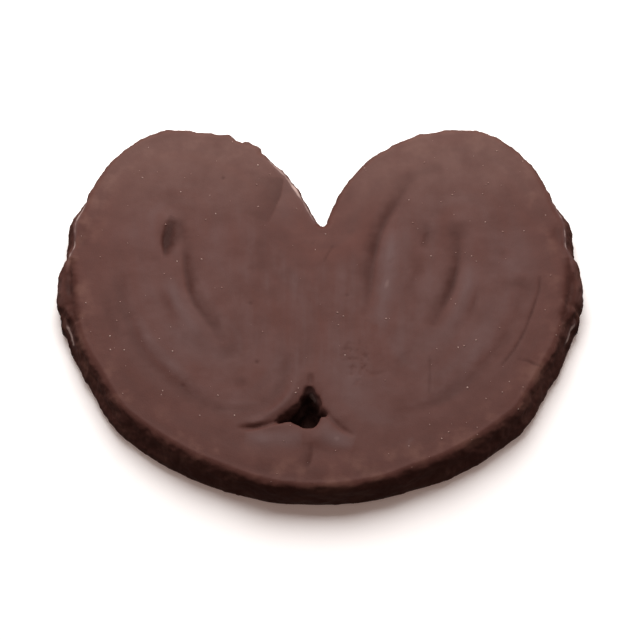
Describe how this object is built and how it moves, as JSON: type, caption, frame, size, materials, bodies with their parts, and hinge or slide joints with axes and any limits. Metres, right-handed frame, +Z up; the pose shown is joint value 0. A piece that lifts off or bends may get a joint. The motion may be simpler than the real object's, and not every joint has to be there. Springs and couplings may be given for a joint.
{
  "type": "chocolate-coated palmier pastry",
  "caption": "Flat heart-shaped rolled puff pastry, fully dipped in dark chocolate, with a V notch between its lobes and a small pit where the rolls meet.",
  "frame": {"origin": "centre of the bounding box at the base, on the plane it lies on", "axes": "+X across both lobes, +Y from the round closed end towards the notch, +Z up through the thickness"},
  "size_m": [0.1208, 0.0952, 0.0097],
  "materials": {
    "chocolate": "satin dark chocolate with a dull bloom"
  },
  "bodies": {
    "root": {"palmier": "chocolate"}
  },
  "joints": []
}
